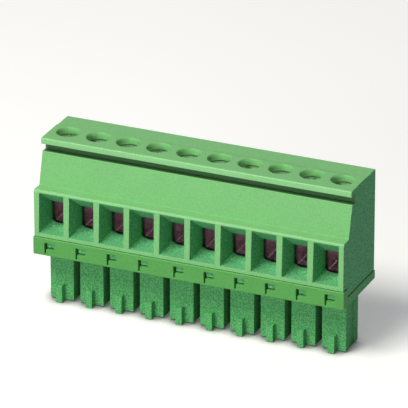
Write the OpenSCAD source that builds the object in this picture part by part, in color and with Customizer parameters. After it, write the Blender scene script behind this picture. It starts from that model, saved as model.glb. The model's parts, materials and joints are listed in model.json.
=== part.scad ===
// Pluggable screw-clamp terminal block for a row of wires.
// The wires enter level from the front, the clamp screws are turned from above, and the plug
// fingers point down into a pin header.
// X runs along the row of poles, -Y is the wire side and +Z points from the finger tips to the
// screws. The origin is in the middle of the outline, in the plane of the finger tips.

/* [Poles] */
// Number of poles in the row
poles = 10; // [2:1:12]
// Distance from one pole to the next
pitch = 3.81; // [3.81:0.01:4.4]
// Plastic beyond the outermost pole's own share of the row, at each end
end_margin = 0.4; // [0.3:0.05:0.8]

/* [Heights, from the finger tips upwards] */
// Length of the plug fingers
finger_len = 6.8; // [5.8:0.05:7.6]
// Thickness of the plug body's plate
plate_t = 1.05; // [0.8:0.05:1.3]
// Height of the front band, with the plate that it ends
band_h = 2.25; // [2.1:0.05:2.6]
// Plastic between the band and the wire openings
sill_t = 0.48; // [0.35:0.01:0.8]
// Height of the wire openings at the front
entry_h = 5.1; // [4.6:0.05:5.5]
// Plastic between the wire openings and the shelf
lintel_t = 0.32; // [0.3:0.01:0.6]
// Height of the sloping front panel
panel_h = 3.88; // [3.6:0.02:4.6]
// Height of the groove under the lip
groove_h = 1.01; // [0.8:0.01:1.3]
// Thickness of the lip
lip_t = 0.76; // [0.6:0.01:1]

/* [Depths, from the wire side backwards] */
// Depth of the whole block
depth = 9.6; // [9.5:0.1:11]
// Depth of the shelf above the wire openings
shelf_d = 1.6; // [1.5:0.01:2]
// How far the front panel leans back
panel_lean = 1; // [0.8:0.05:1.4]
// How far the lip stands out over the panel's top edge
lip_over = 0.35; // [0.2:0.05:0.6]
// Depth of the groove, measured from the lip's front
groove_d = 1.2; // [0.9:0.05:1.25]
// Distance from the lip's front to the screw axes
well_set = 2.85; // [2.8:0.05:3.2]
// Width of the lowered strip behind the screw wells
strip_w = 2.94; // [2.4:0.02:3]
// Drop of that strip below the top face
strip_drop = 0.1; // [0.05:0.05:0.4]
// Distance from the wire side to the front of the fingers
finger_set = 2.9; // [2.8:0.05:3.1]
// Depth of a finger
finger_d = 3.6; // [3.4:0.02:3.7]
// Thickness of the front band
band_t = 1.3; // [1:0.05:1.5]
// How far the plug body stands out past the housing, in front and at both ends
band_out = 0.12; // [0.05:0.01:0.2]

/* [Wire openings] */
// Plastic between two wire openings at the front
entry_wall = 0.71; // [0.5:0.01:0.9]
// How far each side of an opening closes in on the way to its throat
throat_inset = 0.35; // [0.2:0.05:0.5]
// Height of the throat
throat_h = 2.8; // [2.5:0.05:2.95]
// Rise of the floor from the opening to the throat
throat_rise = 0.3; // [0.2:0.05:0.45]
// Radius of the rounded floor in the throat
throat_r = 2.2; // [1.4:0.1:3]
// Depth of the tapering part
funnel_d = 2.6; // [2.3:0.05:2.7]
// Thickness of the wall that holds the throat
throat_t = 0.3; // [0.2:0.05:0.4]

/* [Clamp] */
// Plastic between two clamp chambers
chamber_wall = 0.91; // [0.7:0.01:1]
// Depth of a clamp cage
cage_d = 3; // [2.8:0.05:3.1]
// Thickness of a cage's side walls
cage_wall = 0.3; // [0.2:0.05:0.4]
// Thickness of a cage's floor
cage_floor = 0.5; // [0.4:0.05:0.6]
// Thickness of a cage's threaded top
cage_top = 1.2; // [1:0.05:1.35]
// How far a cage rises from open to closed
clamp_travel = 2.4; // [2:0.1:2.4]
// Depth of the wire-grip grooves across a cage's floor
grip_depth = 0.12; // [0.05:0.01:0.2]
// Number of those grooves
grip_count = 5; // [3:1:7]

/* [Clamp screw] */
// Outer diameter of the thread
thread_d = 2; // [1.6:0.1:2.2]
// Diameter of the head
head_d = 2.75; // [2.6:0.05:2.9]
// Height of the head
head_h = 2.35; // [1.8:0.05:2.5]
// How far the well's neck reaches in over the head, each side
neck_reach = 0.075; // [0.05:0.005:0.15]
// Diameter of the well's chamfer at the top face
rim_d = 2.9; // [2.8:0.05:3.2]
// Height of that chamfer
rim_h = 0.3; // [0.1:0.05:0.35]
// Width of the screwdriver slot
slot_w = 0.5; // [0.4:0.05:0.6]
// Depth of the screwdriver slot
slot_depth = 0.8; // [0.6:0.05:1]

/* [Contact] */
// Thickness of the current bar inside the cage
bar_t = 0.8; // [0.6:0.05:0.95]
// Thickness of the folded strip that carries the bar
strip_t = 0.4; // [0.3:0.05:0.45]
// Thickness of the two spring leaves
leaf_t = 0.3; // [0.2:0.05:0.35]
// Half the distance over the leaves at their root
fork_root = 0.95; // [0.85:0.05:1.05]
// Half the gap between the leaves where they grip the pin
fork_grip = 0.35; // [0.25:0.05:0.45]
// Half the gap between the leaves at their flared tips
fork_tip = 0.6; // [0.5:0.05:0.7]
// Height of the gripping point above the finger tips
grip_z = 2.4; // [2.2:0.1:3]
// Height of the leaves' ends above the finger tips
tip_z = 1.2; // [1:0.1:1.5]
// Size of the square pin opening in a finger's end
pin_hole = 1.4; // [1.2:0.05:1.6]

/* [Fingers and coding ribs] */
// Gap between two fingers
finger_gap = 0.81; // [0.6:0.01:1]
// Front and back wall of a finger
finger_wall = 0.55; // [0.5:0.01:0.7]
// Thickness of a finger's end
finger_floor = 0.8; // [0.5:0.05:0.9]
// Chamfer around a finger's end
finger_chamfer = 0.22; // [0.1:0.02:0.35]
// Width of a coding rib
rib_w = 0.8; // [0.5:0.01:1]
// Height of a coding rib
rib_h = 2.19; // [1.6:0.01:3]
// How far a coding rib stands out
rib_out = 0.8; // [0.6:0.05:1.5]
// Offset of a coding rib from the middle of its finger
rib_shift = -0.05; // [-0.3:0.05:0.3]
// Width of the shallow groove down each side of a finger
side_groove_w = 1.2; // [0.8:0.1:1.6]
// Depth of that groove
side_groove_depth = 0.14; // [0.05:0.01:0.2]

/* [Latches] */
// Width of a latch window
latch_w = 1.22; // [1:0.02:1.5]
// Height of a latch window
latch_h = 1.45; // [1.2:0.05:1.5]
// Distance from a window's top to the band's top
latch_drop = 0.62; // [0.5:0.01:0.7]
// Width of the narrow slit beside the catch
slit_w = 0.2; // [0.15:0.01:0.3]
// Height of a catch
catch_h = 0.56; // [0.45:0.01:0.6]
// How far a catch stays behind the band's face
catch_sink = 0.3; // [0.1:0.05:0.5]
// Gap between a catch and the tab below it
catch_gap = 0.15; // [0.1:0.01:0.25]
// Poles at the left end whose windows are set off step by step
latch_group = 4; // [0:1:4]
// Place of the first window's left side, from its pole
latch_first = -0.87; // [-1:0.05:0]
// Change of that place from one pole to the next in the group
latch_step = 0.16; // [0:0.01:0.25]
// Place of the windows after the group
latch_mid = 0.22; // [-0.5:0.02:0.5]
// Place of the last window
latch_last = -0.05; // [-0.5:0.05:0.3]

/* [Clearances] */
// Gap around the seam between the two housings
seam = 0.05; // [0.04:0.01:0.12]
// Gap over a catch and at its right side
catch_clear = 0.1; // [0.04:0.01:0.15]
// Gap between a cage and its chamber
cage_clear = 0.1; // [0.05:0.01:0.15]
// Gap between the contact and the cage or cavity around it
contact_clear = 0.1; // [0.05:0.01:0.15]
// Gap between the cage's back and the folded strip
riser_clear = 0.2; // [0.1:0.01:0.25]
// Running gap of the screw in its thread, at its tip and around its head
screw_clear = 0.05; // [0.03:0.01:0.08]

/* [Hidden] */
// Number of straight pieces in a rounded corner
arc_steps = 5;
// Cuts run past the faces that they open by this much
past = 0.5;
// Edge roundings of the mouldings, and the bends and edges of the metal parts
shelf_round = 0.3;
lip_round = 0.15;
edge_round = 0.12;
bend_round = 0.5;
metal_round = 0.12;
// Turn of each screwdriver slot, first and from one screw to the next
slot_first = 20;
slot_turn = 67;

row_len = poles * pitch + 2 * end_margin;
housing_len = row_len - 2 * band_out;

// Heights
plate_top = finger_len + plate_t;
band_top = finger_len + band_h;
entry_floor = band_top + sill_t;
entry_top = entry_floor + entry_h;
shelf_z = entry_top + lintel_t;
panel_top = shelf_z + panel_h;
lip_z = panel_top + groove_h;
top_z = lip_z + lip_t;
throat_floor = entry_floor + throat_rise;
throat_top = throat_floor + throat_h;
bar_z = throat_top + screw_clear;
bar_top = bar_z + bar_t;
cage_z = throat_floor - cage_floor;
cage_roof = bar_top + screw_clear;
cage_end = cage_roof + cage_top;
chamber_top = cage_end + clamp_travel + 2 * cage_clear;
head_z = chamber_top + screw_clear;
head_end = head_z + head_h;
pocket_top = head_end + screw_clear;
contact_z = cage_z - cage_clear - strip_t;

// Depths
front_y = -depth / 2;
back_y = depth / 2;
face_y = front_y + band_out;
panel_foot_y = front_y + shelf_d;
panel_top_y = panel_foot_y + panel_lean;
lip_y = panel_top_y - lip_over;
groove_y = lip_y + groove_d;
well_y = lip_y + well_set;
strip_y = back_y - strip_w;
throat_y = face_y + funnel_d;
entry_back_y = throat_y + throat_t;
chamber_y = well_y - cage_d / 2 - cage_clear;
riser_y = well_y + cage_d / 2 + riser_clear;
riser_back_y = riser_y + strip_t;
chamber_back_y = riser_back_y + contact_clear;
bar_y = (entry_back_y + chamber_y) / 2;
finger_y = front_y + finger_set;
finger_mid_y = finger_y + finger_d / 2;
finger_back_y = finger_y + finger_d;
cavity_back_y = finger_back_y - finger_wall;

// Widths
entry_w = pitch - entry_wall;
throat_w = entry_w - 2 * throat_inset;
chamber_w = pitch - chamber_wall;
cage_w = chamber_w - 2 * cage_clear;
window_w = cage_w - 2 * cage_wall;
contact_w = window_w - 2 * contact_clear;
cavity_w = contact_w + 2 * contact_clear;
finger_w = pitch - finger_gap;
neck_d = head_d - 2 * neck_reach;
pocket_d = head_d + 3 * screw_clear;

function pole_x(i) = (i - (poles + 1) / 2) * pitch;

// Left side of the latch window that belongs to pole i
function latch_x(i) =
    pole_x(i) + (i <= latch_group ? latch_first + latch_step * (i - 1)
        : i < poles ? latch_mid : latch_last);

// Arc of radius r that rounds the corner b between its neighbours a and c
function corner_arc(a, b, c, r) =
    let (
        to_a = (a - b) / norm(a - b),
        to_c = (c - b) / norm(c - b),
        half = acos(to_a * to_c) / 2,
        middle = b + (to_a + to_c) / norm(to_a + to_c) * r / sin(half),
        start = b + to_a * r / tan(half) - middle,
        stop = b + to_c * r / tan(half) - middle,
        from = atan2(start[1], start[0]),
        sweep = (atan2(stop[1], stop[0]) - from + 540) % 360 - 180
    )
    [for (k = [0:arc_steps]) middle + r * [cos(from + sweep * k / arc_steps),
                                            sin(from + sweep * k / arc_steps)]];

// Outline through corners given as [across, up, radius]
function rounded(corners) =
    let (n = len(corners), at = [for (c = corners) [c[0], c[1]]])
    [for (i = [0:n - 1])
        each corners[i][2] == 0 ? [at[i]]
            : corner_arc(at[(i + n - 1) % n], at[i], at[(i + 1) % n], corners[i][2])];

// Side profile, drawn as [y, z], swept along X over the given length
module along_x(length) {
    rotate([90, 0, 90])
        linear_extrude(height = length, center = true)
            children();
}

// Front profile, drawn as [x, z], swept backwards from y = start over the given length
module along_y(start, length) {
    translate([0, start + length, 0])
        rotate([90, 0, 0])
            linear_extrude(height = length)
                children();
}

// Upright block centred on x = 0, given by its y and z ranges
module block(width, y, z) {
    translate([-width / 2, y[0], z[0]])
        cube([width, y[1] - y[0], z[1] - z[0]]);
}

module at_poles() {
    for (i = [1:poles])
        translate([pole_x(i), 0, 0])
            children();
}

/* ---------- upper housing ---------- */

// Section of the upper housing, from the wire side over the shelf, panel, groove and lip
module upper_profile() {
    polygon(rounded([
        [face_y, band_top, 0],
        [face_y, shelf_z, shelf_round],
        [panel_foot_y, shelf_z, edge_round],
        [panel_top_y, panel_top, edge_round],
        [groove_y, panel_top, 0],
        [groove_y, lip_z, edge_round],
        [lip_y, lip_z, edge_round],
        [lip_y, top_z, lip_round],
        [strip_y, top_z, 0],
        [strip_y, top_z - strip_drop, 0],
        [back_y, top_z - strip_drop, edge_round],
        [back_y, plate_top + seam, 0],
        [front_y + band_t + seam, plate_top + seam, 0],
        [front_y + band_t + seam, band_top, 0],
    ]));
}

// Tapering wire opening with a conical lead-in floor, and the throat behind it
module wire_funnel() {
    front = face_y - past;
    back = entry_back_y + past;
    half = throat_w / 2;
    axis_z = throat_floor + throat_r;
    mouth_r = norm([entry_w / 2, axis_z - entry_floor]);
    slope = (entry_top - throat_top) / funnel_d;
    side = throat_inset / funnel_d;
    spread = (mouth_r - throat_r) / funnel_d;
    intersection() {
        along_x(entry_w)
            polygon([
                [front, entry_floor],
                [front, entry_top + slope * past],
                [throat_y, throat_top],
                [back, throat_top],
                [back, entry_floor],
            ]);
        translate([0, 0, entry_floor])
            linear_extrude(height = entry_h + slope * past)
                polygon([
                    [-entry_w / 2 - side * past, front],
                    [entry_w / 2 + side * past, front],
                    [half, throat_y],
                    [half, back],
                    [-half, back],
                    [-half, throat_y],
                ]);
        union() {
            translate([0, back, axis_z])
                rotate([90, 0, 0])
                    cylinder(h = back - throat_y, r = throat_r, $fn = 48);
            translate([0, throat_y, axis_z])
                rotate([90, 0, 0])
                    cylinder(h = throat_y - front, r1 = throat_r, r2 = mouth_r + spread * past, $fn = 48);
            block(2 * entry_w, [front, back], [axis_z, entry_top + past]);
        }
    }
}

// Room for one clamp cage, its contact and the wire's end
module clamp_chamber() {
    block(chamber_w, [chamber_y, chamber_back_y], [plate_top - past, chamber_top]);
    block(chamber_w, [entry_back_y, chamber_y + past], [cage_z, bar_top + contact_clear]);
}

// Well over one clamp screw: head pocket, retaining neck and chamfered rim
module screw_well() {
    translate([0, well_y, 0]) {
        translate([0, 0, chamber_top - past])
            cylinder(h = pocket_top - chamber_top + past, d = pocket_d, $fn = 64);
        translate([0, 0, pocket_top - screw_clear])
            cylinder(h = top_z - pocket_top + past, d = neck_d, $fn = 64);
        translate([0, 0, top_z - rim_h])
            cylinder(h = 2 * rim_h, d1 = neck_d, d2 = 2 * rim_d - neck_d, $fn = 64);
    }
}

// Catch that snaps into a latch window of the plug body, with a lead-in slope below
module catch() {
    left = slit_w + seam / 2;
    right = latch_w - catch_clear;
    top = band_top - latch_drop - catch_clear;
    nose_y = front_y + catch_sink;
    root_y = front_y + band_t + seam + past;
    translate([(right + left) / 2, 0, 0])
        along_x(right - left)
            polygon([
                [nose_y, top],
                [nose_y, top - catch_h],
                [root_y, top - catch_h],
                [root_y, top],
            ]);
}

module upper_housing() {
    color([0.42, 0.72, 0.42]) {
        difference() {
            along_x(housing_len) upper_profile();
            at_poles() {
                wire_funnel();
                clamp_chamber();
                screw_well();
            }
        }
        for (i = [1:poles])
            translate([latch_x(i), 0, 0])
                catch();
    }
}

/* ---------- plug body ---------- */

// Section of the plug body's plate and of the band that closes its front
module plug_profile() {
    polygon(rounded([
        [front_y, finger_len, edge_round],
        [front_y, band_top - seam, edge_round],
        [front_y + band_t, band_top - seam, 0],
        [front_y + band_t, plate_top, 0],
        [back_y, plate_top, 0],
        [back_y, finger_len, edge_round],
    ]));
}

// One finger: chamfered end, a shallow groove down each side and the coding rib in front
module finger() {
    half = finger_w / 2;
    inner = half - side_groove_depth;
    groove = [finger_mid_y - side_groove_w / 2, finger_mid_y + side_groove_w / 2];
    difference() {
        intersection() {
            along_x(finger_w)
                polygon([
                    [finger_y, finger_chamfer],
                    [finger_y, plate_top],
                    [finger_back_y, plate_top],
                    [finger_back_y, finger_chamfer],
                    [finger_back_y - finger_chamfer, 0],
                    [finger_y + finger_chamfer, 0],
                ]);
            along_y(finger_y, finger_d)
                polygon([
                    [-half, finger_chamfer],
                    [-half, plate_top],
                    [half, plate_top],
                    [half, finger_chamfer],
                    [half - finger_chamfer, 0],
                    [finger_chamfer - half, 0],
                ]);
        }
        for (side = [-1, 1])
            translate([side * (inner + past / 2), 0, 0])
                block(past, groove, [-past, finger_len]);
    }
    translate([rib_shift, 0, 0])
        block(rib_w, [finger_y - rib_out, finger_y + finger_wall], [0, rib_h]);
}

// Cavity for the spring leaves, and the square pin opening with its lead-in
module finger_cavity() {
    half = pin_hole / 2;
    flare = half + finger_chamfer;
    mid = finger_mid_y;
    block(cavity_w, [finger_y + finger_wall, cavity_back_y], [finger_floor, plate_top + past]);
    block(pin_hole, [mid - half, mid + half], [-past, finger_floor + past]);
    intersection() {
        along_x(2 * flare)
            polygon([[mid - flare, 0], [mid - half, finger_chamfer], [mid + half, finger_chamfer],
                     [mid + flare, 0], [mid + flare, -past], [mid - flare, -past]]);
        along_y(mid - flare, 2 * flare)
            polygon([[-flare, 0], [-half, finger_chamfer], [half, finger_chamfer],
                     [flare, 0], [flare, -past], [-flare, -past]]);
    }
}

// Latch window: a narrow slit over the full height and a pocket above the tab
module latch_window() {
    top = band_top - latch_drop;
    tab_top = top - catch_clear - catch_h - catch_gap;
    y = [front_y - past, front_y + band_t + past];
    translate([slit_w / 2, 0, 0])
        block(slit_w, y, [top - latch_h, top]);
    translate([latch_w / 2, 0, 0])
        block(latch_w, y, [tab_top, top]);
}

module plug_body() {
    color([0.36, 0.66, 0.36])
        difference() {
            union() {
                along_x(row_len) plug_profile();
                at_poles() {
                    finger();
                    // Block that the contact's foot sits on
                    block(contact_w, [cavity_back_y, riser_back_y], [finger_len, contact_z]);
                }
            }
            at_poles() finger_cavity();
            for (i = [1:poles])
                translate([latch_x(i), 0, 0])
                    latch_window();
        }
}

/* ---------- clamp ---------- */

// Slotted captive screw; its tip presses on the current bar
module clamp_screw(i) {
    end_z = bar_top + screw_clear;
    r = thread_d / 2;
    edge = metal_round;
    color([0.72, 0.7, 0.68])
        translate([pole_x(i), well_y, 0])
            rotate([0, 0, slot_first + slot_turn * i])
                difference() {
                    rotate_extrude($fn = 64)
                        polygon([
                            [0, end_z],
                            [r - 2 * edge, end_z],
                            [r, end_z + 2 * edge],
                            [r, head_z],
                            [head_d / 2 - edge, head_z],
                            [head_d / 2, head_z + edge],
                            [head_d / 2, head_end - edge],
                            [head_d / 2 - edge, head_end],
                            [0, head_end],
                        ]);
                    translate([-head_d / 2 - past, -slot_w / 2, head_end - slot_depth])
                        cube([head_d + 2 * past, slot_w, slot_depth + past]);
                }
}

// Folded clamp cage with a threaded top; it rises and lifts the wire against the bar
module clamp_cage(i) {
    half = cage_w / 2;
    bend = cage_wall + metal_round;
    grip_step = cage_d / (grip_count + 1);
    color([0.78, 0.74, 0.72])
        translate([pole_x(i), 0, 0])
            difference() {
                along_y(well_y - cage_d / 2, cage_d)
                    difference() {
                        polygon(rounded([
                            [-half, cage_z, bend],
                            [-half, cage_end, metal_round],
                            [half, cage_end, metal_round],
                            [half, cage_z, bend],
                        ]));
                        polygon(rounded([
                            [-window_w / 2, throat_floor, metal_round],
                            [-window_w / 2, cage_roof, metal_round],
                            [window_w / 2, cage_roof, metal_round],
                            [window_w / 2, throat_floor, metal_round],
                        ]));
                    }
                translate([0, well_y, cage_roof - past])
                    cylinder(h = cage_top + 2 * past, d = thread_d + 2 * screw_clear, $fn = 64);
                for (k = [1:grip_count])
                    translate([0, well_y - cage_d / 2 + k * grip_step, throat_floor])
                        along_x(window_w - 2 * metal_round)
                            polygon([[-grip_depth, 0], [0, -grip_depth], [grip_depth, 0],
                                     [grip_depth, past / 2], [-grip_depth, past / 2]]);
            }
}

// Current bar, folded strip and the two spring leaves that grip the header pin, in one piece
module contact(i) {
    mid = finger_mid_y;
    root = fork_root;
    grip = fork_grip;
    tip = fork_tip;
    color([0.86, 0.84, 0.8])
        translate([pole_x(i), 0, 0])
            along_x(contact_w)
                polygon(rounded([
                    [bar_y, bar_z, metal_round],
                    [bar_y, bar_top, metal_round],
                    [riser_back_y, bar_top, bend_round],
                    [riser_back_y, contact_z, metal_round],
                    [mid + root, contact_z, metal_round],
                    [mid + grip + leaf_t, grip_z, bend_round],
                    [mid + tip + leaf_t, tip_z, 0],
                    [mid + tip, tip_z, 0],
                    [mid + grip, grip_z, bend_round],
                    [mid + root - leaf_t, contact_z, metal_round],
                    [mid - root + leaf_t, contact_z, metal_round],
                    [mid - grip, grip_z, bend_round],
                    [mid - tip, tip_z, 0],
                    [mid - tip - leaf_t, tip_z, 0],
                    [mid - grip - leaf_t, grip_z, bend_round],
                    [mid - root, contact_z, metal_round],
                    [mid - root, contact_z + strip_t, metal_round],
                    [riser_y, contact_z + strip_t, metal_round],
                    [riser_y, bar_z, metal_round],
                ]));
}

upper_housing();
plug_body();
for (i = [1:poles])
    clamp_screw(i);
for (i = [1:poles])
    clamp_cage(i);
for (i = [1:poles])
    contact(i);
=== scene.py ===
"""Dresses the pluggable terminal block: moulded housings, clamp metal and a plain studio."""

import json
import math

import bmesh
import bpy
from mathutils import Matrix, Vector


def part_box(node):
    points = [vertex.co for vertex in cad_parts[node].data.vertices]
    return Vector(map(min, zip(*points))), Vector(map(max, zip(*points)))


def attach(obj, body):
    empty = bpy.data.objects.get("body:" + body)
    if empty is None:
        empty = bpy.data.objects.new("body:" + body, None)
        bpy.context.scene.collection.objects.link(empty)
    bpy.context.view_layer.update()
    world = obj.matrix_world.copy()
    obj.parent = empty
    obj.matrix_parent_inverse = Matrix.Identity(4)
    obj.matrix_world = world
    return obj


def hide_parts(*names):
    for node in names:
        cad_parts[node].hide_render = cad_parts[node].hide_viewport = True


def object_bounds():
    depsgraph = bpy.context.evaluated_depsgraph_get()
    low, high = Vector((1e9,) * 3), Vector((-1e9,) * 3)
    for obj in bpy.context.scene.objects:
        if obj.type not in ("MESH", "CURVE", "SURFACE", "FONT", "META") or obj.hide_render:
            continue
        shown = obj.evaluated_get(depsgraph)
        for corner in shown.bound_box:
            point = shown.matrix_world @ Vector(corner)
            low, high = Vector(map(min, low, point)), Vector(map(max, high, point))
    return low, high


bl_info = {
    "name": "Pluggable Terminal Block",
    "version": (1, 0, 0),
    "blender": (4, 5, 0),
    "location": "View3D > Sidebar > Terminal Block",
    "description": "Dresses the packed terminal block and sets it in a plain studio",
    "category": "Object",
}

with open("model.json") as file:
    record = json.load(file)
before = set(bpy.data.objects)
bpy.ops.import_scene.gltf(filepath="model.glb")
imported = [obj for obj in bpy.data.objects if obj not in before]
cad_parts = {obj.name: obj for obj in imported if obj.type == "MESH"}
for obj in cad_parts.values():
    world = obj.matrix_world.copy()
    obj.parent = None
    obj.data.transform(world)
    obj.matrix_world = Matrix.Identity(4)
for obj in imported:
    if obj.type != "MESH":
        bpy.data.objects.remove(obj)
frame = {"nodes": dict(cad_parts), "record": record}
CAD_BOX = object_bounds()
COLOURS = {m["slot"]: m["base_color"] for m in frame["record"]["materials"]}
POLES = sum(name.startswith("clamp_screw_") for name in frame["nodes"])

MM = 0.001
WELD = 2e-6  # loose CAD triangles are welded within this distance
FLAT = math.radians(0.4)  # faces closer than this are one flat face
CREASE = math.radians(35)  # edges sharper than this get a moulded radius
LEVEL = 0.01 * MM  # vertices within this stand at the same height
SKIN = 0.1 * MM  # faces within this of a side of the box belong to that side

# where the housing's forms lie, from its foot, its top and its front
SEAM = 0.05 * MM  # gap between the housing and the plug body
HOUSING_FOOT = 1.15 * MM  # from the foot inside the plug body up to the band's top
BAND_REACH = 1.6 * MM  # from the front to behind the band
LINTEL_DROP = 6.05 * MM  # from the top down to the openings' upper edges
LINTEL_REACH = 0.25 * MM  # from the front to behind the openings' front edges
LINTEL_CORNER = 0.2 * MM  # rounded corner of an opening, below its upper edge
SHELF_RISE = 0.4 * MM  # from the openings' upper edges up to the shelf
GROOVE_FLOOR_DROP = 1.78 * MM  # from the top down to the groove's floor
GROOVE_ROOF_DROP = 0.75 * MM  # from the top down to the underside of the lip
GROOVE_REACH = 3.5 * MM  # from the front to the back of the groove
LIP_REACH = 2.3 * MM  # from the front to behind the lip's edge

# where the plug body's and the screws' forms lie
PLUG_OVER_FINGERS = 2.2 * MM  # height of the band with the plate under it
HEAD_REACH = 1.2 * MM  # anything farther from a screw's axis belongs to its head
HEAD_EDGE = 0.04 * MM  # radius along a screw head's edges
NECK = 0.05 * MM  # how far the cut shank stands below the head

# places and sizes in the studio, from the middle of the block
KEY_PLACE = Vector((-0.12, -0.27, 0.45))
KEY_SIZE = (0.22, 0.22)
KEY_COLOUR = (1, 0.98, 0.9)
FRONT_PLACE = Vector((-0.08, -0.5, 0.11))
FRONT_SIZE = (0.4, 0.16)
FRONT_COLOUR = (1, 0.99, 0.95)
AMBIENT_COLOUR = (0.8, 0.92, 1, 1)
CAMERA_ASIDE = 0.09 * MM
CAMERA_ABOVE = 3.94 * MM
FLOOR_SIZE = 1.5
FLOOR_SEEN = (0.95, 0.94, 0.95)  # the floor as the camera sees it
FLOOR_BOUNCE = (0.44, 0.48, 0.5)  # the floor in the light that it throws back
FLOOR_GLOW = 0.15  # share of the seen floor that shines by itself


# ---------- settings ----------


class TerminalBlockHousing(bpy.types.PropertyGroup):
    """Sizes and colours of the two green mouldings."""

    top_colour: bpy.props.FloatVectorProperty(
        name="Housing", description="Colour of the upper housing",
        subtype="COLOR", size=3, min=0, max=1, default=(0.155, 0.43, 0.15))
    # cooler green for the eroded faces: real grain, and on the housing's shaded ends, catches and
    # opening walls also painted shade; the groove is darkened by the tone instead
    top_grain_and_shade: bpy.props.FloatVectorProperty(
        name="Housing, eroded", description="Colour of its eroded and recessed surfaces",
        subtype="COLOR", size=3, min=0, max=1, default=(0.11, 0.42, 0.18))
    plug_colour: bpy.props.FloatVectorProperty(
        name="Plug body", description="Colour of the plug body",
        subtype="COLOR", size=3, min=0, max=1, default=(0.092, 0.33, 0.08))
    plug_grained: bpy.props.FloatVectorProperty(
        name="Plug body, eroded", description="Colour of its eroded surfaces",
        subtype="COLOR", size=3, min=0, max=1, default=(0.095, 0.38, 0.13))
    edge_radius: bpy.props.FloatProperty(
        name="Edge radius", description="Radius along the sharp edges of a moulding",
        unit="LENGTH", precision=5, min=0, max=0.0002, default=0.00006)
    grain: bpy.props.FloatProperty(
        name="Grain", description="Depth of the eroded texture on fingers and ends",
        unit="LENGTH", precision=6, min=0, max=0.0001, default=0.00004)


class TerminalBlockMetal(bpy.types.PropertyGroup):
    """Sizes and colours of screws, cages and contacts."""

    screw_colour: bpy.props.FloatVectorProperty(
        name="Screws", description="Colour of the zinc-plated screws",
        subtype="COLOR", size=3, min=0, max=1, default=COLOURS["zinc_screw"])
    cage_colour: bpy.props.FloatVectorProperty(
        name="Cages", description="Colour of the clamp cages",
        subtype="COLOR", size=3, min=0, max=1, default=(0.42, 0.25, 0.32))
    contact_colour: bpy.props.FloatVectorProperty(
        name="Contacts", description="Colour of the tinned contacts",
        subtype="COLOR", size=3, min=0, max=1, default=COLOURS["tinned_contact"])
    thread_pitch: bpy.props.FloatProperty(
        name="Thread pitch", description="Distance from one thread ridge to the next",
        unit="LENGTH", precision=5, min=0.0002, max=0.001, default=0.0004)
    thread_depth: bpy.props.FloatProperty(
        name="Thread depth", description="Depth of the thread grooves",
        unit="LENGTH", precision=5, min=0.00005, max=0.0004, default=0.00022)


class TerminalBlockStudio(bpy.types.PropertyGroup):
    """Camera, lamps and floor."""

    azimuth: bpy.props.FloatProperty(
        name="Azimuth", description="How far the camera stands round to the right",
        subtype="ANGLE", default=math.radians(23.47))
    elevation: bpy.props.FloatProperty(
        name="Elevation", description="Height of the camera above the horizon",
        subtype="ANGLE", default=math.radians(24.2))
    distance: bpy.props.FloatProperty(
        name="Distance", description="Distance of the camera from the block",
        unit="LENGTH", min=0.1, max=2, default=0.58)
    lens: bpy.props.FloatProperty(
        name="Lens", description="Focal length in millimetres",
        min=50, max=800, default=443.8)
    key_power: bpy.props.FloatProperty(
        name="Key lamp", description="Power of the square lamp high in front, to the left",
        unit="POWER", min=0, max=20, default=2.9)
    front_power: bpy.props.FloatProperty(
        name="Front lamp", description="Power of the low lamp in front",
        unit="POWER", min=0, max=20, default=1.0)
    ambient: bpy.props.FloatProperty(
        name="Ambient", description="Strength of the light from all around",
        min=0, max=2, default=0.1)


# ---------- meshes ----------


def merged_copy(node):
    """The CAD node's shape as a bmesh, welded and with its flat faces joined up."""
    bm = bmesh.new()
    bm.from_mesh(frame["nodes"][node].data)
    bmesh.ops.remove_doubles(bm, verts=bm.verts, dist=WELD)
    bmesh.ops.dissolve_limit(bm, angle_limit=FLAT, verts=bm.verts, edges=bm.edges)
    return bm


def crease_edges(bm):
    """Edges where two faces meet at a sharp angle."""
    return [e for e in bm.edges if e.is_manifold and e.calc_face_angle() > CREASE]


def round_edges(bm, edges, radius, segments=2):
    """Puts a small radius along the given edges."""
    bmesh.ops.bevel(bm, geom=edges, offset=radius, offset_type="OFFSET", segments=segments,
                    profile=0.5, affect="EDGES", material=-1, clamp_overlap=False)


def on_end(face, middle, high):
    """Whether a face belongs to the left or right end of a moulding."""
    return abs(face.normal.x) > 0.9 and high.x - abs(middle.x) < SKIN


def finish_piece(bm, name, material, body):
    """Turns a bmesh into a piece that rides on a body and shades smoothly over its radii."""
    mesh = bpy.data.meshes.new(name)
    for face in bm.faces:
        face.smooth = True
    for edge in bm.edges:
        edge.smooth = not (edge.is_manifold and edge.calc_face_angle(0) > CREASE)
    bm.to_mesh(mesh)
    bm.free()
    piece = bpy.data.objects.new(name, mesh)
    bpy.context.scene.collection.objects.link(piece)
    mesh.materials.append(material)
    weighted = piece.modifiers.new("Flat faces stay flat", "WEIGHTED_NORMAL")
    weighted.keep_sharp = True
    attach(piece, body)
    return piece


# ---------- materials ----------


def node_material(name):
    """A new material with its node tree, its Principled shader and its object coordinates."""
    material = bpy.data.materials.new(name)
    material.use_nodes = True
    nodes = material.node_tree.nodes
    shader = nodes["Principled BSDF"]
    coords = nodes.new("ShaderNodeTexCoord")
    return material, shader, coords.outputs["Object"]


def add_noise(material, coords, size, detail=2.0, roughness=0.5):
    """Noise with features of about the given size in metres."""
    noise = material.node_tree.nodes.new("ShaderNodeTexNoise")
    noise.inputs["Scale"].default_value = 1 / size
    noise.inputs["Detail"].default_value = detail
    noise.inputs["Roughness"].default_value = roughness
    material.node_tree.links.new(coords, noise.inputs["Vector"])
    return noise.outputs["Fac"]


def add_math(material, operation, first, second, third=None):
    """A Math node on sockets or plain numbers."""
    node = material.node_tree.nodes.new("ShaderNodeMath")
    node.operation = operation
    for socket, value in zip(node.inputs, (first, second, third)):
        if isinstance(value, bpy.types.NodeSocket):
            material.node_tree.links.new(value, socket)
        elif value is not None:
            socket.default_value = value
    return node.outputs[0]


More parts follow.
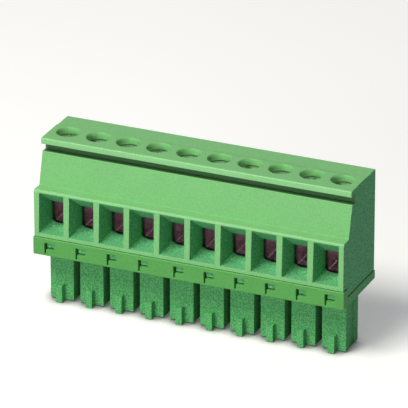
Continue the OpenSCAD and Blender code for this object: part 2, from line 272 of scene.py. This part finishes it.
def add_range(material, value, low, high, start=0.3, stop=0.7):
    """Maps a noise value between start and stop onto low to high."""
    node = material.node_tree.nodes.new("ShaderNodeMapRange")
    material.node_tree.links.new(value, node.inputs["Value"])
    for key, number in (("From Min", start), ("From Max", stop), ("To Min", low), ("To Max", high)):
        node.inputs[key].default_value = number
    return node.outputs["Result"]


def add_tone(material, colour, factor):
    """The colour made lighter or darker by a factor socket."""
    node = material.node_tree.nodes.new("ShaderNodeMix")
    node.data_type = "RGBA"
    node.blend_type = "MULTIPLY"
    node.inputs["Factor"].default_value = 1
    if isinstance(colour, bpy.types.NodeSocket):
        material.node_tree.links.new(colour, node.inputs[6])
    else:
        node.inputs[6].default_value = (*colour, 1)
    material.node_tree.links.new(factor, node.inputs[7])
    return node.outputs[2]


def add_bump(material, shader, height, distance):
    """A Bump node whose height is a socket from 0 to 1, scaled by a distance in metres."""
    node = material.node_tree.nodes.new("ShaderNodeBump")
    node.inputs["Strength"].default_value = 1
    node.inputs["Distance"].default_value = distance
    material.node_tree.links.new(height, node.inputs["Height"])
    material.node_tree.links.new(node.outputs["Normal"], shader.inputs["Normal"])


def add_attribute(material, name):
    """The value of a named face attribute."""
    node = material.node_tree.nodes.new("ShaderNodeAttribute")
    node.attribute_name = name
    return node.outputs["Fac"]


def add_blend(material, first, second, factor):
    """A colour that goes from first to second as the factor socket goes from 0 to 1."""
    node = material.node_tree.nodes.new("ShaderNodeMix")
    node.data_type = "RGBA"
    material.node_tree.links.new(factor, node.inputs["Factor"])
    for socket, value in ((node.inputs[6], first), (node.inputs[7], second)):
        if isinstance(value, bpy.types.NodeSocket):
            material.node_tree.links.new(value, socket)
        else:
            socket.default_value = (*value, 1)
    return node.outputs[2]


def moulded_plastic(name, colour, grained, grain):
    """Satin moulded plastic with three face attributes: eroded is matt and grainy and takes the
    second colour, which on the housing is partly painted shade;
    polished is glossier and painted paler as a highlight; and recessed is painted darker as shade."""
    material, shader, coords = node_material(name)
    links = material.node_tree.links
    shader.inputs["Specular IOR Level"].default_value = 0.2
    eroded = add_attribute(material, "eroded")
    polish_and_highlight = add_attribute(material, "polish_and_highlight")
    recess_shade = add_attribute(material, "recess_shade")
    cloud = add_noise(material, coords, 3.5 * MM, 3)
    speckle = add_noise(material, coords, 0.17 * MM, 2, 0.6)
    tone = add_range(material, cloud, 0.97, 1.03)
    depth = add_math(material, "MULTIPLY_ADD", eroded, 0.8, 0.2)
    mottle = add_range(material, speckle, -0.4, 0.4, 0.36, 0.64)
    tone = add_math(material, "MULTIPLY_ADD", mottle, depth, tone)
    # painted shade: the groove's faces are darkened to 0.4 of their tone
    tone = add_math(material, "MULTIPLY", tone,
                    add_math(material, "MULTIPLY_ADD", recess_shade, -0.6, 1))
    base = add_blend(material, colour, grained, eroded)
    # painted highlight: polished faces take a paler colour as well as a lower roughness
    base = add_blend(material, base, [min(1, c * 1.1 + 0.07) for c in colour], polish_and_highlight)
    links.new(add_tone(material, base, tone), shader.inputs["Base Color"])
    gloss = add_range(material, cloud, 0.38, 0.46)
    gloss = add_math(material, "MULTIPLY_ADD", eroded, 0.25, gloss)
    links.new(add_math(material, "MULTIPLY_ADD", polish_and_highlight, -0.14, gloss),
              shader.inputs["Roughness"])
    add_bump(material, shader, add_math(material, "MULTIPLY", speckle, depth), grain)
    return material


def plated_metal(name, colour, roughness, scratch, mottle=0.08):
    """Plated steel with a slightly cloudy coat and fine tool marks."""
    material, shader, coords = node_material(name)
    links = material.node_tree.links
    shader.inputs["Metallic"].default_value = 1
    cloud = add_noise(material, coords, 0.7 * MM, 3)
    marks = add_noise(material, coords, 0.12 * MM, 3, 0.7)
    tone = add_range(material, cloud, 1 - mottle, 1 + mottle)
    links.new(add_tone(material, colour, tone), shader.inputs["Base Color"])
    links.new(add_range(material, marks, roughness * 0.7, roughness * 1.3),
              shader.inputs["Roughness"])
    add_bump(material, shader, marks, scratch)
    return material


def light_path_sum(tree):
    """1 for camera, glossy and transmission rays, and 0 for the rays that light the block."""
    path = tree.nodes.new("ShaderNodeLightPath")
    total = path.outputs["Is Camera Ray"]
    for key in ("Is Glossy Ray", "Is Transmission Ray"):
        node = tree.nodes.new("ShaderNodeMath")
        node.operation = "ADD"
        node.use_clamp = True
        tree.links.new(total, node.inputs[0])
        tree.links.new(path.outputs[key], node.inputs[1])
        total = node.outputs[0]
    return total


# ---------- operators ----------


class TERMINALBLOCK_OT_upper_housing(bpy.types.Operator):
    """Dress the upper housing"""

    bl_idname = "terminal_block.upper_housing"
    bl_label = "Upper Housing"

    def execute(self, context):
        settings = context.scene.terminal_block_housing
        low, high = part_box("upper_housing")
        front, band_top = low.y, low.z + HOUSING_FOOT
        lintel = high.z - LINTEL_DROP
        bm = merged_copy("upper_housing")
        for vert in bm.verts:  # the housing sits on the band without a gap
            if abs(vert.co.z - band_top) < LEVEL and vert.co.y < front + BAND_REACH:
                vert.co.z -= SEAM
        # too little plastic is left for a radius over the openings and at the foot
        edges = [e for e in crease_edges(bm) if not all(
            (v.co.y < front + LINTEL_REACH and lintel - LINTEL_CORNER < v.co.z)
            or abs(v.co.z - band_top + SEAM) < LEVEL for v in e.verts)]
        round_edges(bm, edges, settings.edge_radius)
        bm.normal_update()
        self.mark_finish(bm, front, lintel, high)
        material = moulded_plastic("Green housing", settings.top_colour,
                                   settings.top_grain_and_shade, settings.grain)
        piece = finish_piece(bm, "housing_moulding", material, "root")
        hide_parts("upper_housing")
        return {"FINISHED"}

    def mark_finish(self, bm, front, lintel, high):
        """Marks eroded faces (a cooler green that is partly painted shade), polished faces (painted
        paler as a highlight) and the groove (painted darker as shade).
        """
        eroded = bm.faces.layers.float.new("eroded")
        polish_and_highlight = bm.faces.layers.float.new("polish_and_highlight")
        recess_shade = bm.faces.layers.float.new("recess_shade")
        groove_floor, groove_roof = high.z - GROOVE_FLOOR_DROP, high.z - GROOVE_ROOF_DROP
        for face in bm.faces:
            middle = face.calc_center_median()
            # the ends are eroded, and their cooler green is also painted shade on the shaded side
            if on_end(face, middle, high):
                face[eroded] = 1
            elif high.y - middle.y < SKIN:
                face[eroded] = 0.6
            # painted shade: the groove's faces under the lip are marked to be painted darker
            elif groove_floor < middle.z < groove_roof and middle.y < front + GROOVE_REACH:
                face[recess_shade] = 1
            # painted highlight: the front faces and the shelf are painted half paler, the lip fully
            # paler
            elif middle.y < front + SKIN or lintel < middle.z < lintel + SHELF_RISE:
                face[polish_and_highlight] = 0.5
            elif middle.z > groove_roof and middle.y < front + LIP_REACH:
                face[polish_and_highlight] = 1
            # painted shade as well as grain: the catches and opening walls under the openings take
            # the cooler green
            elif middle.z < lintel and middle.y < 0:
                face[eroded] = 0.9


class TERMINALBLOCK_OT_plug_body(bpy.types.Operator):
    """Dress the plug body with its fingers and latch windows"""

    bl_idname = "terminal_block.plug_body"
    bl_label = "Plug Body"

    def execute(self, context):
        settings = context.scene.terminal_block_housing
        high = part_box("plug_body")[1]
        finger_len = high.z - PLUG_OVER_FINGERS
        bm = merged_copy("plug_body")
        eroded = bm.faces.layers.float.new("eroded")
        round_edges(bm, crease_edges(bm), settings.edge_radius)
        bm.normal_update()
        for face in bm.faces:
            middle = face.calc_center_median()
            if middle.z < finger_len - SKIN:
                face[eroded] = 1
            elif on_end(face, middle, high):
                face[eroded] = 0.8
            elif high.y - middle.y < SKIN:
                face[eroded] = 0.5
        material = moulded_plastic("Green plug body", settings.plug_colour,
                                   settings.plug_grained, settings.grain)
        piece = finish_piece(bm, "plug_moulding", material, "root")
        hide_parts("plug_body")
        return {"FINISHED"}


def threaded_shank(bm, centre, bottom, top, radius, settings):
    """Adds a turned shank with thread ridges to a bmesh."""
    core = radius - settings.thread_depth
    points = [(0, bottom), (core, bottom)]
    ridges = int((top - bottom) / settings.thread_pitch)
    pitch = (top - bottom) / ridges
    for k in range(ridges):
        z = bottom + pitch * k
        points += [(core, z + 0.06 * pitch), (radius, z + 0.44 * pitch),
                   (radius, z + 0.56 * pitch), (core, z + 0.94 * pitch)]
    points += [(core, top), (0, top)]
    ring = [bm.verts.new((centre[0] + r, centre[1], z)) for r, z in points]
    line = [bm.edges.new(pair) for pair in zip(ring, ring[1:])]
    bmesh.ops.spin(bm, geom=ring + line, cent=(*centre, 0), axis=(0, 0, 1),
                   angle=math.tau, steps=32, use_merge=True)


class TERMINALBLOCK_OT_clamp_screws(bpy.types.Operator):
    """Dress the clamp screws: heads with a softened slot, and threaded shanks"""

    bl_idname = "terminal_block.clamp_screws"
    bl_label = "Clamp Screws"

    def execute(self, context):
        settings = context.scene.terminal_block_metal
        material = plated_metal("Zinc plated screw", settings.screw_colour, 0.3, 0.000004)
        for i in range(1, POLES + 1):
            node = f"clamp_screw_{i}"
            low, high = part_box(node)
            centre = ((low.x + high.x) / 2, (low.y + high.y) / 2)
            bm = merged_copy(node)
            head_z = min(v.co.z for v in bm.verts
                         if (Vector(centre) - v.co.xy).length > HEAD_REACH)
            shank_r = max((Vector(centre) - v.co.xy).length for v in bm.verts
                          if v.co.z < head_z - SKIN)
            cut = bmesh.ops.bisect_plane(bm, geom=bm.verts[:] + bm.edges[:] + bm.faces[:],
                                         plane_co=(0, 0, head_z - NECK),
                                         plane_no=(0, 0, -1), clear_outer=True)
            rim = [e for e in cut["geom_cut"] if isinstance(e, bmesh.types.BMEdge)]
            bmesh.ops.contextual_create(bm, geom=rim)
            round_edges(bm, crease_edges(bm), HEAD_EDGE, 1)
            threaded_shank(bm, centre, low.z, head_z, shank_r, settings)
            bmesh.ops.recalc_face_normals(bm, faces=bm.faces)
            piece = finish_piece(bm, f"screw_turned_{i}", material, f"screw_{i}")
            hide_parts(node)
        return {"FINISHED"}


class TERMINALBLOCK_OT_clamp_cages(bpy.types.Operator):
    """Give the clamp cages their plated finish"""

    bl_idname = "terminal_block.clamp_cages"
    bl_label = "Clamp Cages"

    def execute(self, context):
        settings = context.scene.terminal_block_metal
        material = plated_metal("Nickel plated cage", settings.cage_colour, 0.3, 0.00001, 0.2)
        for i in range(1, POLES + 1):
            frame["nodes"][f"clamp_cage_{i}"].data.materials[0] = material
        return {"FINISHED"}


class TERMINALBLOCK_OT_contacts(bpy.types.Operator):
    """Give the folded contacts their tinned finish"""

    bl_idname = "terminal_block.contacts"
    bl_label = "Contacts"

    def execute(self, context):
        settings = context.scene.terminal_block_metal
        material = plated_metal("Tinned contact", settings.contact_colour, 0.34, 0.000006)
        for i in range(1, POLES + 1):
            frame["nodes"][f"contact_{i}"].data.materials[0] = material
        return {"FINISHED"}


def aim(location, target):
    """Matrix of a lamp at location that shines at target."""
    direction = (Vector(target) - Vector(location)).normalized()
    return Matrix.Translation(location) @ direction.to_track_quat("-Z", "Y").to_matrix().to_4x4()


def add_lamp(name, location, target, size, power, colour):
    """A rectangular soft lamp."""
    data = bpy.data.lights.new(name, "AREA")
    data.shape = "RECTANGLE"
    data.size, data.size_y = size
    data.energy = power
    data.color = colour
    lamp = bpy.data.objects.new(name, data)
    lamp.matrix_world = aim(location, target)
    bpy.context.scene.collection.objects.link(lamp)


class TERMINALBLOCK_OT_studio(bpy.types.Operator):
    """Set up the floor, the lamps, the surroundings and the camera"""

    bl_idname = "terminal_block.studio"
    bl_label = "Studio"

    def execute(self, context):
        settings = context.scene.terminal_block_studio
        low, high = CAD_BOX
        middle = (Vector(low) + Vector(high)) / 2
        self.floor(low[2])
        self.surroundings(settings.ambient)
        add_lamp("Key", middle + KEY_PLACE, middle, KEY_SIZE, settings.key_power, KEY_COLOUR)
        add_lamp("Front", middle + FRONT_PLACE, middle, FRONT_SIZE, settings.front_power,
                 FRONT_COLOUR)
        self.camera(settings, middle)
        context.scene.view_settings.view_transform = "Standard"
        return {"FINISHED"}

    def floor(self, height):
        """A pale floor with a contact shadow painted in where the block touches it."""
        bm = bmesh.new()
        bmesh.ops.create_grid(bm, x_segments=1, y_segments=1, size=FLOOR_SIZE)
        bmesh.ops.translate(bm, verts=bm.verts, vec=(0, 0, height))
        mesh = bpy.data.meshes.new("floor")
        bm.to_mesh(mesh)
        bm.free()
        floor = bpy.data.objects.new("floor", mesh)
        bpy.context.scene.collection.objects.link(floor)
        mesh.materials.append(self.floor_material())

    def floor_material(self):
        material, shader, _ = node_material("Pale floor")
        tree = material.node_tree
        shader.inputs["Roughness"].default_value = 0.9
        shader.inputs["Specular IOR Level"].default_value = 0.1
        seen = light_path_sum(tree)
        # painted shadow: an ambient occlusion node darkens the floor's colour and its glow close to
        # the block
        contact = tree.nodes.new("ShaderNodeAmbientOcclusion")
        contact.inputs["Distance"].default_value = 2 * MM
        painted_contact_shadow = add_range(material, contact.outputs["AO"], 0.3, 1, 0.45, 0.95)
        tone = add_blend(material, FLOOR_BOUNCE, FLOOR_SEEN, seen)
        tree.links.new(add_tone(material, tone, painted_contact_shadow), shader.inputs["Base Color"])
        white = tree.nodes.new("ShaderNodeEmission")
        white.inputs["Strength"].default_value = 2
        tree.links.new(painted_contact_shadow, white.inputs["Color"])
        mix = tree.nodes.new("ShaderNodeMixShader")
        tree.links.new(add_math(material, "MULTIPLY", seen, FLOOR_GLOW), mix.inputs["Fac"])
        tree.links.new(shader.outputs[0], mix.inputs[1])
        tree.links.new(white.outputs[0], mix.inputs[2])
        tree.links.new(mix.outputs[0], tree.nodes["Material Output"].inputs["Surface"])
        return material

    def surroundings(self, ambient):
        """A white background that lights the block only a little."""
        world = bpy.data.worlds.new("Studio")
        world.use_nodes = True
        bpy.context.scene.world = world
        tree = world.node_tree
        light = tree.nodes["Background"]
        light.inputs["Strength"].default_value = ambient
        light.inputs["Color"].default_value = AMBIENT_COLOUR
        white = tree.nodes.new("ShaderNodeBackground")
        white.inputs["Color"].default_value = (1, 1, 1, 1)
        white.inputs["Strength"].default_value = 1
        mix = tree.nodes.new("ShaderNodeMixShader")
        tree.links.new(light_path_sum(tree), mix.inputs["Fac"])
        tree.links.new(light.outputs[0], mix.inputs[1])
        tree.links.new(white.outputs[0], mix.inputs[2])
        tree.links.new(mix.outputs[0], tree.nodes["World Output"].inputs["Surface"])

    def camera(self, settings, middle):
        """A long lens that looks at the block from the front right, a little from above."""
        azimuth, elevation = settings.azimuth, settings.elevation
        back = Vector((math.sin(azimuth) * math.cos(elevation),
                       -math.cos(azimuth) * math.cos(elevation), math.sin(elevation)))
        right = Vector((math.cos(azimuth), math.sin(azimuth), 0))
        up = back.cross(right)
        place = middle + settings.distance * back + CAMERA_ASIDE * right + CAMERA_ABOVE * up
        data = bpy.data.cameras.new("Camera")
        data.sensor_width = 36
        data.lens = settings.lens
        data.clip_start = 0.01
        data.clip_end = 10
        camera = bpy.data.objects.new("Camera", data)
        turn = Matrix((right, up, back)).transposed().to_4x4()
        camera.matrix_world = Matrix.Translation(place) @ turn
        bpy.context.scene.collection.objects.link(camera)
        bpy.context.scene.camera = camera


class TERMINALBLOCK_PT_panel(bpy.types.Panel):
    """Lists the pieces and the studio in the sidebar"""

    bl_label = "Terminal Block"
    bl_space_type = "VIEW_3D"
    bl_region_type = "UI"
    bl_category = "Terminal Block"

    def draw(self, context):
        for operator in OPERATORS:
            self.layout.operator(operator.bl_idname)


OPERATORS = (
    TERMINALBLOCK_OT_upper_housing,
    TERMINALBLOCK_OT_plug_body,
    TERMINALBLOCK_OT_clamp_screws,
    TERMINALBLOCK_OT_clamp_cages,
    TERMINALBLOCK_OT_contacts,
    TERMINALBLOCK_OT_studio,
)
GROUPS = {
    "terminal_block_housing": TerminalBlockHousing,
    "terminal_block_metal": TerminalBlockMetal,
    "terminal_block_studio": TerminalBlockStudio,
}


def register():
    for group in GROUPS.values():
        bpy.utils.register_class(group)
    for name, group in GROUPS.items():
        setattr(bpy.types.Scene, name, bpy.props.PointerProperty(type=group))
    for operator in OPERATORS:
        bpy.utils.register_class(operator)
    bpy.utils.register_class(TERMINALBLOCK_PT_panel)


def unregister():
    bpy.utils.unregister_class(TERMINALBLOCK_PT_panel)
    for operator in reversed(OPERATORS):
        bpy.utils.unregister_class(operator)
    for name, group in GROUPS.items():
        delattr(bpy.types.Scene, name)
        bpy.utils.unregister_class(group)


def main():
    register()
    bpy.ops.terminal_block.upper_housing()
    bpy.ops.terminal_block.plug_body()
    bpy.ops.terminal_block.clamp_screws()
    bpy.ops.terminal_block.clamp_cages()
    bpy.ops.terminal_block.contacts()
    bpy.ops.terminal_block.studio()


if __name__ == "__main__":
    main()
